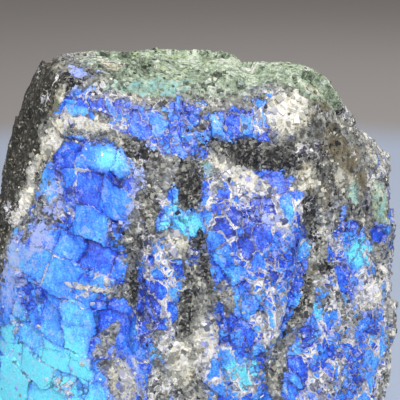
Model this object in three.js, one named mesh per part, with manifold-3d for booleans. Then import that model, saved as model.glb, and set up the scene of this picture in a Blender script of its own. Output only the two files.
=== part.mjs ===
// Rough labradorite chunk: one broken piece of feldspar rock that fills a hand.
// It is a single solid with no parts. Its body is a blunted polyhedron: every broken face is a
// plane at a given distance from the heart of the stone, and where faces meet, the edge is worn
// round. Furrows, a ledge and a few swellings are then pressed into that body along the line from
// the heart, and the underside is cut flat so that the stone stands.
// Units are millimetres, +Z is up, and the front faces -Y.
import * as THREE from "three";
import { mergeVertices } from "three/addons/utils/BufferGeometryUtils.js";
import Module from "manifold-3d";

const { degToRad, smoothstep } = THREE.MathUtils;

// Height of the heart above the flat that the stone rests on.
const HEART_HEIGHT = 54;

// How sharp the edges between broken faces are: a higher power gives a tighter edge.
const EDGE_POWER = 24;

// Size of the box whose faces carry the working grid, and the length of a grid step.
const GRID_SIZE = new THREE.Vector3(100, 66, 108);
const GRID_STEP = 4.4;

// The broken faces: bearing from the front towards +X and tilt upwards, in degrees, and the
// distance of the face from the heart.
const BROKEN_FACES = {
  frontUpper: { bearing: 6, tilt: 24, distance: 35.5 },
  frontLeftLobe: { bearing: -26, tilt: 10, distance: 36 },
  frontLower: { bearing: 2, tilt: 4, distance: 35.5 },
  frontRight: { bearing: 38, tilt: 12, distance: 39 },
  left: { bearing: -70, tilt: 9, distance: 48.5 },
  leftTopBevel: { bearing: -68, tilt: 32, distance: 53.5 },
  leftRear: { bearing: -104, tilt: 6, distance: 46.5 },
  right: { bearing: 84, tilt: 3, distance: 50.5 },
  rightShoulder: { bearing: 76, tilt: 40, distance: 54.5 },
  top: { bearing: 20, tilt: 86, distance: 51 },
  topFrontBevel: { bearing: 4, tilt: 58, distance: 50 },
  back: { bearing: 172, tilt: 5, distance: 32 },
  backUpper: { bearing: 158, tilt: 34, distance: 40 },
  backLower: { bearing: -166, tilt: -16, distance: 35 },
  backLeft: { bearing: -138, tilt: 12, distance: 40 },
  backRight: { bearing: 128, tilt: 14, distance: 45 },
  backTopBevel: { bearing: 198, tilt: 56, distance: 50 },
  rightLower: { bearing: 104, tilt: -20, distance: 50 },
  underLeft: { bearing: -96, tilt: -36, distance: 60 },
  underRight: { bearing: 72, tilt: -50, distance: 66 },
  underFront: { bearing: -14, tilt: -56, distance: 61 },
  underBack: { bearing: 168, tilt: -38, distance: 50 },
};

// The furrows: side they lie on (1 front, -1 back), upper and lower end as [x, z], sideways bow at
// the middle, width of the bank towards -X and towards +X, and depth.
const FURROWS = [
  { side: 1, top: [-9, 88], foot: [-24, 4], bow: -1, left: 5, right: 4, depth: 3.6 },
  { side: 1, top: [-3, 90], foot: [-5, 4], bow: 3, left: 4, right: 5.5, depth: 3.4 },
  { side: 1, top: [9, 76], foot: [4, 20], bow: 1, left: 3, right: 4, depth: 1.4 },
  { side: 1, top: [32, 84], foot: [12, 4], bow: 0.5, left: 3.2, right: 5, depth: 4 },
  { side: -1, top: [14, 92], foot: [22, 6], bow: 2, left: 7, right: 4, depth: 3.6 },
  { side: -1, top: [-20, 84], foot: [-12, 6], bow: -3, left: 4, right: 8, depth: 3 },
];

// The swellings: centre, half widths and height. A part of the stone outside them is left alone.
const SWELLINGS = {
  topHump: { at: [29, 0, 104], reach: [8, 60, 30], height: 1.6 },
  leftLobe: { at: [-30, -30, 42], reach: [17, 30, 34], height: 3 },
  shoulderKnuckle: { at: [50, 2, 81], reach: [6, 12, 5], height: 1.6 },
};

// The step down along the top edge, on its +X side.
const TOP_STEP = { from: 7, to: 16, drop: 2.6 };

// The ledges: the face above a sloping line is set back. The line is given by its height at x = 0
// and its rise per millimetre towards +X; the ledge fades out between fadeFrom and fadeTo.
const FRONT_LEDGE = { height: 80.7, rise: -0.42, setback: 1.8, half: 2, fadeFrom: 20, fadeTo: 30 };
const BACK_LEDGE = { height: 58, rise: 0.35, setback: 2.2, half: 2.5, fadeFrom: 60, fadeTo: 70 };

const bell = (offset, width) => Math.exp(-((offset / width) ** 2));

const facePlanes = Object.values(BROKEN_FACES).map(({ bearing, tilt, distance }) => ({
  normal: new THREE.Vector3(
    Math.sin(degToRad(bearing)) * Math.cos(degToRad(tilt)),
    -Math.cos(degToRad(bearing)) * Math.cos(degToRad(tilt)),
    Math.sin(degToRad(tilt)),
  ),
  distance,
}));

// Distance from the heart to the blunted polyhedron along a unit direction: the p-norm of how
// far the direction leans towards each face, turned upside down.
function reachAlong(direction) {
  const leans = facePlanes.map(({ normal, distance }) =>
    Math.max(normal.dot(direction) / distance, 0),
  );
  return leans.reduce((sum, lean) => sum + lean ** EDGE_POWER, 0) ** (-1 / EDGE_POWER);
}

// Depth of a furrow at a point: a bell across its course, faded out at both ends.
function furrowDepth({ top, foot, bow, left, right, depth }, point) {
  const along = (top[1] - point.z) / (top[1] - foot[1]);
  const course = top[0] + (foot[0] - top[0]) * along + bow * 4 * along * (1 - along);
  const across = point.x - course;
  const ends = smoothstep(along, 0, 0.22) * smoothstep(1 - along, 0, 0.25);
  return depth * bell(across, across < 0 ? left : right) * ends;
}

function swellingHeight({ at, reach, height }, point) {
  const offset = point.toArray().map((value, axis) => (value - at[axis]) / reach[axis]);
  return height * Math.exp(-offset.reduce((sum, value) => sum + value * value, 0));
}

function ledgeSetback({ height, rise, setback, half, fadeFrom, fadeTo }, point) {
  const above = point.z - (height + rise * point.x);
  return setback * smoothstep(above, -half, half) * (1 - smoothstep(point.x, fadeFrom, fadeTo));
}

// How far the surface stands out from the blunted polyhedron at a point of it.
function reliefAt(point, direction) {
  const front = smoothstep(-direction.y, 0.15, 0.55);
  const back = smoothstep(direction.y, 0.15, 0.55);
  const top = smoothstep(direction.z, 0.45, 0.8);
  const furrows = FURROWS.reduce(
    (sum, furrow) => sum + (furrow.side > 0 ? front : back) * furrowDepth(furrow, point),
    0,
  );
  const swellings = Object.values(SWELLINGS).reduce(
    (sum, swelling) => sum + swellingHeight(swelling, point),
    0,
  );
  const step = top * TOP_STEP.drop * smoothstep(point.x, TOP_STEP.from, TOP_STEP.to);
  const ledges = front * ledgeSetback(FRONT_LEDGE, point) + back * ledgeSetback(BACK_LEDGE, point);
  return swellings - furrows - step - ledges;
}

// The closed surface of the stone before the cut: a box grid pushed out along its own directions.
function stoneSurface() {
  const { x, y, z } = GRID_SIZE;
  const steps = [x, y, z].map((length) => Math.round(length / GRID_STEP));
  const grid = new THREE.BoxGeometry(x, y, z, ...steps);
  grid.deleteAttribute("normal");
  grid.deleteAttribute("uv");
  const surface = mergeVertices(grid);
  const heart = new THREE.Vector3(0, 0, HEART_HEIGHT);
  const positions = surface.getAttribute("position");
  for (let i = 0; i < positions.count; i += 1) {
    const direction = new THREE.Vector3().fromBufferAttribute(positions, i).normalize();
    const body = direction.clone().multiplyScalar(reachAlong(direction)).add(heart);
    const point = body.clone().addScaledVector(direction, reliefAt(body, direction));
    positions.setXYZ(i, point.x, point.y, point.z);
  }
  return surface;
}

const wasm = await Module();
wasm.setup();

const solidOf = (geometry) =>
  new wasm.Manifold(
    new wasm.Mesh({
      numProp: 3,
      vertProperties: new Float32Array(geometry.getAttribute("position").array),
      triVerts: new Uint32Array(geometry.index.array),
    }),
  );

// A block that reaches well past the stone in every direction below the resting plane.
function groundBlock() {
  const side = 4 * Math.max(...GRID_SIZE.toArray());
  const block = new THREE.BoxGeometry(side, side, side);
  block.deleteAttribute("normal");
  block.deleteAttribute("uv");
  return mergeVertices(block.translate(0, 0, -side / 2));
}

// The stone, cut flat underneath, with the middle of its base at the origin.
function stoneGeometry() {
  const { vertProperties, triVerts } = solidOf(stoneSurface())
    .subtract(solidOf(groundBlock()))
    .getMesh();
  const geometry = new THREE.BufferGeometry();
  geometry.setAttribute("position", new THREE.BufferAttribute(vertProperties, 3));
  geometry.setIndex(new THREE.BufferAttribute(triVerts, 1));
  geometry.computeBoundingBox();
  const centre = geometry.boundingBox.getCenter(new THREE.Vector3());
  geometry.translate(-centre.x, -centre.y, 0);
  geometry.computeVertexNormals();
  return geometry;
}

const labradorite = new THREE.MeshStandardMaterial({
  color: 0x4f6fae,
  roughness: 0.45,
  metalness: 0,
});

const chunk = new THREE.Mesh(stoneGeometry(), labradorite);
chunk.name = "labradorite_chunk";

const stone = new THREE.Group();
stone.add(chunk);

export default stone;
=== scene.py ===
"""Rough labradorite chunk: the looks of the stone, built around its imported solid.

The stone is one piece of broken feldspar rock. Its surface is worked out as a blunted polyhedron
with furrows and ledges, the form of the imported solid, then broken further into cleavage blocks,
splinters and crushed rock. The colour comes from cells of the same size and place as those breaks.
Lengths are millimetres in the numpy formulas and metres in every Blender object.
"""

import math

import bpy
import numpy as np
from bpy.props import FloatProperty, FloatVectorProperty, IntProperty, PointerProperty
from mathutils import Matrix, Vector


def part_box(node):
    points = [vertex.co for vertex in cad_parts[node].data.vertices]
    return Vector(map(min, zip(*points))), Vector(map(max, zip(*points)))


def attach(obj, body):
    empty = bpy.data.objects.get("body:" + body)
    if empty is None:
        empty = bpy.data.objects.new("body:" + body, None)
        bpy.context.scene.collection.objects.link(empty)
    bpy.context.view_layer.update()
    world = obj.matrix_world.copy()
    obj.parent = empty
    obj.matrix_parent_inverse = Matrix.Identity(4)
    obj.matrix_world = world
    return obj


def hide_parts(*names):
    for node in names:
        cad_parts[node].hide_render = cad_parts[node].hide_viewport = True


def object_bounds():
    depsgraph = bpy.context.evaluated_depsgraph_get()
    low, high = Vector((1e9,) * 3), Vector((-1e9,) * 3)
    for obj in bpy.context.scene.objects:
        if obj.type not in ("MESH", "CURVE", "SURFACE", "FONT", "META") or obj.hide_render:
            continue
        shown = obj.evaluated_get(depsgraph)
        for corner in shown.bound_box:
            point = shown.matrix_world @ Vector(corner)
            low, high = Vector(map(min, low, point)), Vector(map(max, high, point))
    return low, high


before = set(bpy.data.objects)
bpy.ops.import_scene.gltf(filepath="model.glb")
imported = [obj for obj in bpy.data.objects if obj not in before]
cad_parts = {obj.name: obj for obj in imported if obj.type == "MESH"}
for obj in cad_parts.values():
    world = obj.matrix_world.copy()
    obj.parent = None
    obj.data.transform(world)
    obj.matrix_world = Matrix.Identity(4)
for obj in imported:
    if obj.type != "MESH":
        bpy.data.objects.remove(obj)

bl_info = {
    "name": "Rough Labradorite Chunk",
    "version": (1, 0, 0),
    "blender": (4, 5, 0),
    "location": "View3D > Sidebar > Labradorite",
    "description": "Builds a rough chunk of labradorite with its studio stage",
    "category": "Add Mesh",
}

NODE = "labradorite_chunk"
MM = 0.001
CAD_BOUNDS = [list(corner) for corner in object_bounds()]
BAKE_MAP = "OFBake"

# ---------------------------------------------------------------------------------------------
# The form of the stone, in millimetres from its heart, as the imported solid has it.

HEART_HEIGHT = 54.0
HEART = np.array([0, 0, HEART_HEIGHT])
# The higher the power, the sharper the edges between the broken faces.
EDGE_POWER = 24.0
# Sides of the box whose grid is cast onto the stone, about the stone's own.
GRID_BOX = np.array([100.0, 66.0, 108.0])

# Broken faces: bearing from the front towards +X, tilt upwards (degrees), distance from the heart.
BROKEN_FACES = {
    "front upper": (6, 24, 35.5),
    "front left lobe": (-26, 10, 36),
    "front lower": (2, 4, 35.5),
    "front right": (38, 12, 39),
    "left": (-70, 9, 48.5),
    "left top bevel": (-68, 32, 53.5),
    "left rear": (-104, 6, 46.5),
    "right": (84, 3, 50.5),
    "right shoulder": (76, 40, 54.5),
    "top": (20, 86, 51),
    "top front bevel": (4, 58, 50),
    "back": (172, 5, 32),
    "back upper": (158, 34, 40),
    "back lower": (-166, -16, 35),
    "back left": (-138, 12, 40),
    "back right": (128, 14, 45),
    "back top bevel": (198, 56, 50),
    "right lower": (104, -20, 50),
    "under left": (-96, -36, 60),
    "under right": (72, -50, 66),
    "under front": (-14, -56, 61),
    "under back": (168, -38, 50),
}

# Furrows: side (1 front, -1 back), upper end (x, z), lower end (x, z), sideways bow, width of the
# bank towards -X and towards +X, depth.
FURROWS = (
    (1, (-9, 88), (-24, 4), -1, 5, 4, 3.6),
    (1, (-3, 90), (-5, 4), 3, 4, 5.5, 3.4),
    (1, (9, 76), (4, 20), 1, 3, 4, 1.4),
    (1, (32, 84), (12, 4), 0.5, 3.2, 5, 4),
    (-1, (14, 92), (22, 6), 2, 7, 4, 3.6),
    (-1, (-20, 84), (-12, 6), -3, 4, 8, 3),
)

# Depth at which a furrow counts in full in the painted shade that darkens the rock inside it.
FULL_FURROW = 4

# Swellings: centre, half widths, height. The last two only level the visible top edge.
SWELLINGS = (
    ((29, 0, 104), (8, 60, 30), 1.6),
    ((-30, -30, 42), (17, 30, 34), 3),
    ((50, 2, 81), (6, 12, 5), 1.6),
    ((-25, 0, 104), (11, 60, 30), 1.2),
    ((-1, 0, 104), (8, 60, 30), -1.0),
)

# The step along the top edge: from x, to x, drop.
TOP_STEP = (7, 16, 2.6)

# Ledges: height at x = 0, rise towards +X, setback, half width, and the x where they fade out.
FRONT_LEDGE = (80.7, -0.42, 1.8, 2, 20, 30)
BACK_LEDGE = (58, 0.35, 2.2, 2.5, 60, 70)

# ---------------------------------------------------------------------------------------------
# The cells that the rock breaks into, which relief and colour share, in millimetres.

# Turn of the cleavage about Y in degrees and stretch along Z: blocks of the left lobe, splinters.
BLOCK_LIE = (15, 1.0)
SPLINTER_LIE = (-12, 0.6)
# Unevenness of the rows and columns of blocks, and how far a row's own number slides its columns.
STRIP_RANDOMNESS = 0.85
ROW_SHIFT = 40.0
# Share of the blocks and of the splinters that are broken into the next smaller size.
BROKEN_BLOCKS = 0.3
BROKEN_SPLINTERS = 0.45
# How far a small and a large noise push the cells' borders about, and the sizes of the two.
WARP, WARP_SIZE = 0.8, 6
BEND, BEND_SIZE = 2.2, 15
# Steepest slope of a cell's flat top, and height between neighbours for the fixed sizes.
BREAK_TILT, BLOCK_TILT, SPLINTER_TILT, CHIP_TILT = 0.12, 0.09, 0.14, 0.22
BREAK_STEP, CHIP_STEP = 2.4, 0.5
# Heights of the broad swell and of the crushed grain between the cells, and the sizes of the two.
SWELL, SWELL_SIZE = 1.0, 24
GRIT, GRIT_SIZE = 0.35, 1.6
# Edges between facets that meet at more than this are kept sharp.
SHARP_ANGLE = math.radians(28)

# ---------------------------------------------------------------------------------------------
# Where the minerals lie on the front, seen square on, and where the painted shade and the painted
# highlight lie. Each patch is (across, rise, half length, half width, turn of its length from +X in
# degrees): across is x, rise runs up the leaning front.

FRONT_LEAN = math.radians(18)

PATCHES = {
    "blue": (
        (-22.5, 68.5, 10, 9.5, 90),
        (-28, 51.5, 12, 9, 0),
        (-32, 33, 14, 13, 90),
        (-19, 40, 5, 3.5, 0),
        (-26, 14, 16, 12, 0),
        (-38, 44, 13, 7, 100),
        (-25, 86, 6, 4, -24),
        (-27.5, 94.5, 3.6, 1.6, 0),
        (-12, 83, 14, 3.6, -24),
        (-1.7, 85, 3.6, 3, 0),
        (11, 81, 8, 5.2, 20),
        (18.6, 71.8, 4.4, 3.5, -30),
        (-7.6, 47, 9, 5.4, 96),
        (-0.9, 60.3, 3.2, 3, 0),
        (-5, 64, 5.5, 1.5, 66),
        (13, 57, 13, 11, -60),
        (21, 47, 12, 5, 80),
        (10, 33, 12, 6, 90),
        (12, 12, 12, 8, 90),
        (38, 50, 9, 4.5, 100),
        (29.5, 31, 11, 4.6, 85),
        (41, 28, 11, 5, 80),
        (34, 10, 10, 7, 90),
        (45.5, 58, 2.4, 2, 0),
        (-4, 8, 7, 5, 90),
        (-13, 31, 9, 4, 100),
        (-41, 24, 16, 8, 90),
        (22.5, 62, 8, 2.6, -75),
        (25, 26, 8, 4, 85),
    ),
    "lobe": ((-27, 54, 34, 15, 92), (-32, 24, 28, 20, 100)),
    "crush": (
        (-11.4, 57.5, 12, 3.3, 80),
        (-19.5, 34, 6, 2, 62),
        (16, 75.6, 12, 3.5, -14),
        (35, 79, 14, 11, 70),
        (0, 36, 16, 3.4, 88),
        (27.5, 68, 5, 2.2, -70),
        (29.8, 55, 8, 2.4, 88),
        (25, 43, 8, 2.4, 66),
        (20.5, 27, 9, 1.8, 76),
        (17, 10, 10, 2, 80),
        (-15.5, 90, 8, 2.4, -10),
        (-20, 84, 9, 1.8, -8),
        (-33, 82, 12, 1.6, 74),
        (-37.5, 67, 9, 1.6, 62),
        (8, 44, 7, 1.6, 100),
        (33, 42, 6, 2.4, 30),
        (-8, 24, 9, 3, 100),
        (-20.5, 81, 13, 2.1, -13),
    ),
    "dark": (
        (-0.5, 69, 5.2, 3, 90),
        (-28.5, 92, 3.4, 2.2, 10),
        (32, 50, 2.9, 1.7, 0),
        (-1, 42, 6, 1.6, 84),
        (17, 48, 0.8, 0.7, 0),
        (21.8, 46.8, 0.8, 0.7, 0),
        (6.2, 44.6, 0.8, 0.7, 0),
        (15.5, 75.4, 12, 3.4, -12),
        (-14, 98, 5.5, 2, 0),
        (33.5, 78, 2.2, 1.4, -20),
        (27.8, 62, 8, 1.3, -78),
        (24.5, 42, 7, 1.2, 62),
        (-13, 46, 4, 1.2, 90),
        (-11.5, 76.4, 4.4, 2.2, -34),
        (3, 53, 8, 1.3, 98),
        (-33, 73, 4, 0.8, 60),
    ),
    "cream": (
        (22.2, 86, 5.4, 4.4, 20),
        (11.4, 70.8, 7.6, 2, -30),
        (19.7, 61, 4, 1.1, -34),
        (-3.2, 55.8, 3, 2.6, 60),
        (-2, 29, 5, 3, 90),
        (4, 35, 5, 2.8, 90),
        (35.3, 71, 2.6, 1.9, 0),
        (26.4, 71, 3.6, 2.2, 90),
        (-11.4, 100.5, 2.4, 1.3, -20),
        (-19, 98.5, 4.2, 2, -30),
        (-23.5, 46.3, 6.2, 0.9, -10),
        (42.5, 43, 3.4, 3.2, 0),
        (31, 92, 5, 1.6, -12),
        (-32.5, 93, 5, 3, 30),
        (-15.5, 24.5, 5.2, 3.6, 90),
        (-30.4, 92, 5, 1.2, -66),
        (-31.5, 78.5, 8, 1.9, 58),
        (-24, 82.6, 6.5, 1.2, -6),
        (-36.9, 69.5, 9, 1.4, 72),
    ),
    "green": (
        (-1, 101, 24, 11, -3),
        (28, 95, 13, 6, -25),
        (46, 66.5, 7, 2.8, 90),
        (-30, 88, 2.5, 1.3, 50),
    ),
    "teal": (
        (-9, 91.5, 10, 2.2, 0),
        (46.5, 66, 6, 2, 90),
        (38.5, 68, 3, 1.7, 80),
        (41, 89, 3, 1.2, -60),
        (3.5, 72.5, 2, 1.2, -60),
    ),
    # Cyan is partly the schiller's own palest colour and partly painted highlight: the two large
    # patches of the lower left paint a bright, washed-out highlight there.
    "cyan_and_highlight": (
        (-36, 24, 13, 13, 90),
        (-30, 14, 12, 12, 0),
        (-27, 30, 3, 3, 90),
        (-18.5, 75, 2.8, 2.6, 0),
        (-0.9, 60.3, 3.4, 3, 0),
        (-5, 62, 4, 1.5, 66),
        (12, 27, 3.6, 3.6, 0),
        (40, 53, 4, 3, -60),
    ),
    "deep": (
        (-19, 88, 4, 2, -24),
        (-23, 65, 9, 7, 0),
        (10, 60, 11, 6, -60),
        (20, 66, 5, 5, 0),
        (-9, 44, 6, 4, 90),
        (-14, 60, 3, 6, 90),
    ),
    "haze": (
        (-34, 60, 9, 3, 66),
        (-28, 93, 7, 4, 10),
        (-15.5, 24.5, 6, 4.6, 90),
        (42.5, 43, 4, 4, 0),
        (-11, 64, 10, 3, 84),
        (20, 60, 4.5, 1.3, -34),
        (-41.5, 51, 10, 3.2, 86),
    ),
    "brown": (
        (46.5, 77.6, 1.8, 1.3, 0),
        (28.2, 49.7, 1.5, 1.1, 0),
        (33, 83, 2.6, 1.2, 40),
        (31, 66, 3, 1.2, 80),
        (33.5, 78, 4.5, 3, -40),
        (37, 75, 5, 2.4, 60),
        (41, 71, 4, 2, 80),
        (33, 88, 6, 1.6, -10),
        (43, 82, 3.4, 1.6, 60),
        (30, 67, 3, 1.4, 90),
        (-31, 86.5, 2.6, 1.6, 60),
    ),
    # Painted shade: patches where the rock's tone is lowered; the furrows add more of it when the
    # stone is built.
    "painted_shade": (
        (33, 80, 15, 9, -62),
        (40, 66, 12, 5, -70),
        (14, 76, 13, 4, -12),
        (0, 70, 8, 3, 80),
        (-20, 96, 14, 4, 0),
    ),
    "skin": ((-42.8, 80, 25, 8.5, 70), (-47, 64, 20, 5.5, 84)),
}


# ---------------------------------------------------------------------------------------------
# The stage.

# Lights: bearing from the front towards +X and elevation (degrees), distance and size (metres),
# share of the main power.
LIGHTS = {
    "key": (28, 54, 0.62, 0.3, 1.0),
    "fill": (-24, 24, 0.8, 0.6, 0.7),
    "back": (160, 48, 0.8, 0.6, 0.5),
}
# Middle of the camera's view, in millimetres, and the width of its sensor.
VIEW_TARGET = (2.7, 0.8, 70)
SENSOR_WIDTH = 36
# Floor rings, and where the pale floor turns grey, in radii of the pale floor.
FLOOR_RINGS = (0.5, 1.0, 3.0, 9.0)
FLOOR_SPOKES = 96
FLOOR_FADE = (0.9, 1.15)

# ---------------------------------------------------------------------------------------------
# Settings


def linear(colour):
    """Linear RGB of an sRGB hex colour such as "3f8cff": c / 12.92 where dark, else a 2.4 power."""
    channels = [int(colour[i : i + 2], 16) / 255 for i in (0, 2, 4)]
    return [c / 12.92 if c <= 0.04045 else ((c + 0.055) / 1.055) ** 2.4 for c in channels]


def length(name, description, millimetres):
    """A length setting, shown in the scene's own units."""
    return FloatProperty(
        name=name, description=description, default=millimetres * MM, unit="LENGTH", precision=5
    )


def colour(name, description, hex_value):
    """A colour setting with an sRGB hex default."""
    return FloatVectorProperty(
        name=name,
        description=description,
        default=linear(hex_value),
        subtype="COLOR",
        min=0,
        max=1,
    )


class StoneSettings(bpy.types.PropertyGroup):
    """Sizes of the breaks and grains of the rock."""

    grid_step: length("Grid Step", "Distance between points of the working surface", 0.42)
    triangles: IntProperty(
        name="Triangles", description="Most triangles of the finished surface", default=190000
    )
    block: length("Block", "Width of a cleavage block on the left lobe", 7.5)
    splinter: length("Splinter", "Width of a cleavage splinter elsewhere", 3.6)
    chip: length("Chip", "Width of a chip within a splinter", 1.5)
    grain: length("Grain", "Width of a grain of crushed feldspar", 0.5)
    boulder: length("Break", "Width of a break facet on the sides and back", 13)
    block_step: length("Block Step", "Height between neighbouring blocks", 1.3)
    splinter_step: length("Splinter Step", "Height between neighbouring splinters", 1.1)
    seed: IntProperty(name="Seed", description="Start of the random draws", default=7)
    loose_grains: IntProperty(
        name="Grains", description="Grains standing proud of the crushed rock", default=16000
    )
    loose_size: length("Grain Size", "Middle edge length of those grains", 0.6)


class FinishSettings(bpy.types.PropertyGroup):
    """Colours of the minerals."""

    azure: colour("Azure", "Main colour of the shimmering cleavage", "3684ff")
    deep: colour("Ultramarine", "Deep colour of the shimmer", "2350e4")
    # The palest colour of the shimmer, also used as painted highlight on the lower left.
    cyan_and_highlight: colour("Cyan", "Brightest colour of the shimmer", "72eaff")
    haze: colour("Lavender", "Milky feldspar over the shimmer", "b3c0ee")
    cream: colour("Cream", "Fresh feldspar grains", "dfdccb")
    white: colour("White", "Crushed feldspar", "f1eeea")
    grey: colour("Grey", "Common crushed rock", "898b86")
    dark: colour("Black", "Hornblende and ilmenite grains", "15161c")
    green: colour("Green", "Weathered feldspar of the rim", "a3b99c")
    lime: colour("Lime", "Bright cleavage in the rim", "c3d98a")
    teal: colour("Teal", "Blue-green cleavage in the rim", "97cfd0")
    brown: colour("Brown", "Iron stain", "766a4c")
    skin: colour("Skin", "Old dark surface of the left side", "45443b")


class StageSettings(bpy.types.PropertyGroup):
    """Floor, light and camera."""

    floor: colour("Floor", "Pale floor", "aebbd0")
    wall: colour("Surroundings", "Grey of the far surroundings", "a19d9b")
    floor_radius: length("Floor Radius", "Radius of the pale floor", 360)
    light: FloatProperty(
        name="Light", description="Power of the main soft light", default=3.0, unit="POWER"
    )
    lens: length("Lens", "Focal length of the camera", 85)
    distance: length("Distance", "Camera to the middle of the view", 235)
    elevation: FloatProperty(
        name="Elevation",
        description="Camera height above the level",
        default=math.radians(18),
        subtype="ANGLE",
    )


# ---------------------------------------------------------------------------------------------
# Nodes and meshes

MIX, MATH, RANGE = "ShaderNodeMix", "ShaderNodeMath", "ShaderNodeMapRange"
VORONOI, NOISE, RAMP = "ShaderNodeTexVoronoi", "ShaderNodeTexNoise", "ShaderNodeValToRGB"
VECTOR, SPLIT = "ShaderNodeVectorMath", "ShaderNodeSeparateColor"


def add(tree, kind, inputs=None, ramp=None, **settings):
    """Adds a node: settings are its properties, inputs its sockets by index or name, each a value,
    a socket to link from, or a node whose first output is meant; ramp is its colour stops."""
    node = tree.nodes.new(kind)
    for name, value in settings.items():
        setattr(node, name, value)
    for key, value in (inputs or {}).items():
        if isinstance(value, bpy.types.Node):
            value = value.outputs[0]
        if isinstance(value, bpy.types.NodeSocket):
            tree.links.new(value, node.inputs[key])
        else:
            node.inputs[key].default_value = value
    if ramp:
        stops = node.color_ramp.elements
        while len(stops) < len(ramp):
            stops.new(1.0)
        for stop, (position, rgb) in zip(stops, ramp):
            stop.position = position
            stop.color = (*rgb, 1)
    return node


def smooth(low, high, value):
    """0 below low, 1 above high, and the cubic 3t^2 - 2t^3 in between."""
    t = np.clip((value - low) / (high - low), 0, 1)
    return t * t * (3 - 2 * t)


def unit(vectors):
    """The vectors, each divided by its length."""
    return vectors / np.linalg.norm(vectors, axis=-1, keepdims=True)


def values_of(collection, key, size, dtype=np.float32):
    """One property of every item of a mesh's collection, as an array of rows."""
    values = np.empty(len(collection) * size, dtype)
    collection.foreach_get(key, values)
    return values.reshape(-1, size)


def texture_at(points, kind, outputs, inputs, **settings):
    """Outputs of a texture node at points, as arrays: a throwaway Geometry Nodes modifier stores
    them on a loose-point mesh, so that relief and material can share the very same cells. A texture
    on a line takes the points' X."""
    mesh = bpy.data.meshes.new("samples")
    mesh.vertices.add(len(points))
    mesh.vertices.foreach_set("co", points.astype(np.float32).ravel())
    holder = bpy.data.objects.new("samples", mesh)
    bpy.context.scene.collection.objects.link(holder)
    tree = bpy.data.node_groups.new("samples", "GeometryNodeTree")
    for way in ("INPUT", "OUTPUT"):
        tree.interface.new_socket("Geometry", in_out=way, socket_type="NodeSocketGeometry")
    position = add(tree, "GeometryNodeInputPosition")
    if settings.get("voronoi_dimensions") == "1D":
        inputs = {"W": add(tree, "ShaderNodeSeparateXYZ", {0: position}), **inputs}
    else:
        inputs = {"Vector": position, **inputs}
    texture = add(tree, kind, inputs, **settings)
    geometry = add(tree, "NodeGroupInput").outputs[0]
    for name, data_type in outputs.items():
        stored = add(
            tree,
            "GeometryNodeStoreNamedAttribute",
            {"Geometry": geometry, "Name": name, "Value": texture.outputs[name]},
            data_type=data_type,
        )
        geometry = stored.outputs[0]
    add(tree, "NodeGroupOutput", {0: geometry})
    holder.modifiers.new("samples", "NODES").node_group = tree
    evaluated = holder.evaluated_get(bpy.context.evaluated_depsgraph_get()).data
    result = []
    for name, data_type in outputs.items():
        size, key = (3, "vector") if data_type == "FLOAT_VECTOR" else (1, "value")
        values = values_of(evaluated.attributes[name].data, key, size)
        result.append(values if size > 1 else values[:, 0])
    bpy.data.objects.remove(holder)
    bpy.data.meshes.remove(mesh)
    bpy.data.node_groups.remove(tree)
    return result


def noise_at(points, size, detail=2.0, roughness=0.5):
    """Smooth noise from -1 to 1 with features of the given size, in millimetres."""
    (value,) = texture_at(
        points,
        NOISE,
        {"Fac": "FLOAT"},
        {"Scale": 1 / size, "Detail": detail, "Roughness": roughness},
    )
    return np.clip((value - 0.5) * 4, -1, 1)


def cells_at(points, size):
    """Each point's Voronoi cell: its three random numbers and its seed point."""
    outputs = {"Color": "FLOAT_VECTOR", "Position": "FLOAT_VECTOR"}
    return texture_at(points, VORONOI, outputs, {"Scale": 1 / size})


def strips_at(along, size):
    """Each point's strip of a line: its random number and the place of its middle."""
    zero = np.zeros_like(along)
    random, middle = texture_at(
        np.stack([along, zero, zero], 1),
        VORONOI,
        {"Color": "FLOAT_VECTOR", "W": "FLOAT"},
        {"Scale": 1 / size, "Randomness": STRIP_RANDOMNESS},
        voronoi_dimensions="1D",
    )
    return random[:, 0], middle


def blocks_at(points, size):
    """Each point's cleavage block: rows across Z, each with its own columns across X, its three
    random numbers and its middle."""
    row, row_middle = strips_at(points[:, 2], size)
    column, column_middle = strips_at(points[:, 0] + ROW_SHIFT * row, size)
    pair = np.stack([row, column, np.zeros_like(row)], 1)
    (random,) = texture_at(pair, "ShaderNodeTexWhiteNoise", {"Color": "FLOAT_VECTOR"}, {})
    return random, np.stack([column_middle - ROW_SHIFT * row, points[:, 1], row_middle], 1)


# ---------------------------------------------------------------------------------------------
# The surface of the stone


def box_grid(step):
    """Points and outward quads of a box surface: on each of its six sides a point is a function of
    two parameters, its steps along the side, and the sides share the points of their edges."""
    counts = np.round(GRID_BOX / step).astype(int)
    stride = counts + 1
    keys, quads, start = [], [], 0
    for axis in range(3):
        u, v = [other for other in range(3) if other != axis]
        for end in (0, 1):
            i, j = np.meshgrid(np.arange(stride[u]), np.arange(stride[v]), indexing="ij")
            place = np.empty((*i.shape, 3), int)
            place[..., u] = i
            place[..., v] = j
            place[..., axis] = end * counts[axis]
            keys.append(place.reshape(-1, 3))
            index = start + np.arange(i.size).reshape(i.shape)
            corners = (index[:-1, :-1], index[1:, :-1], index[1:, 1:], index[:-1, 1:])
            quad = np.stack([c.ravel() for c in corners], 1)
            outwards = (end == 1) != (axis == 1)
            quads.append(quad if outwards else quad[:, ::-1])
            start += i.size
    lattice, shared = np.unique(np.concatenate(keys), axis=0, return_inverse=True)
    points = (lattice / counts - 0.5) * GRID_BOX
    return points, shared.ravel()[np.concatenate(quads)]


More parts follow.
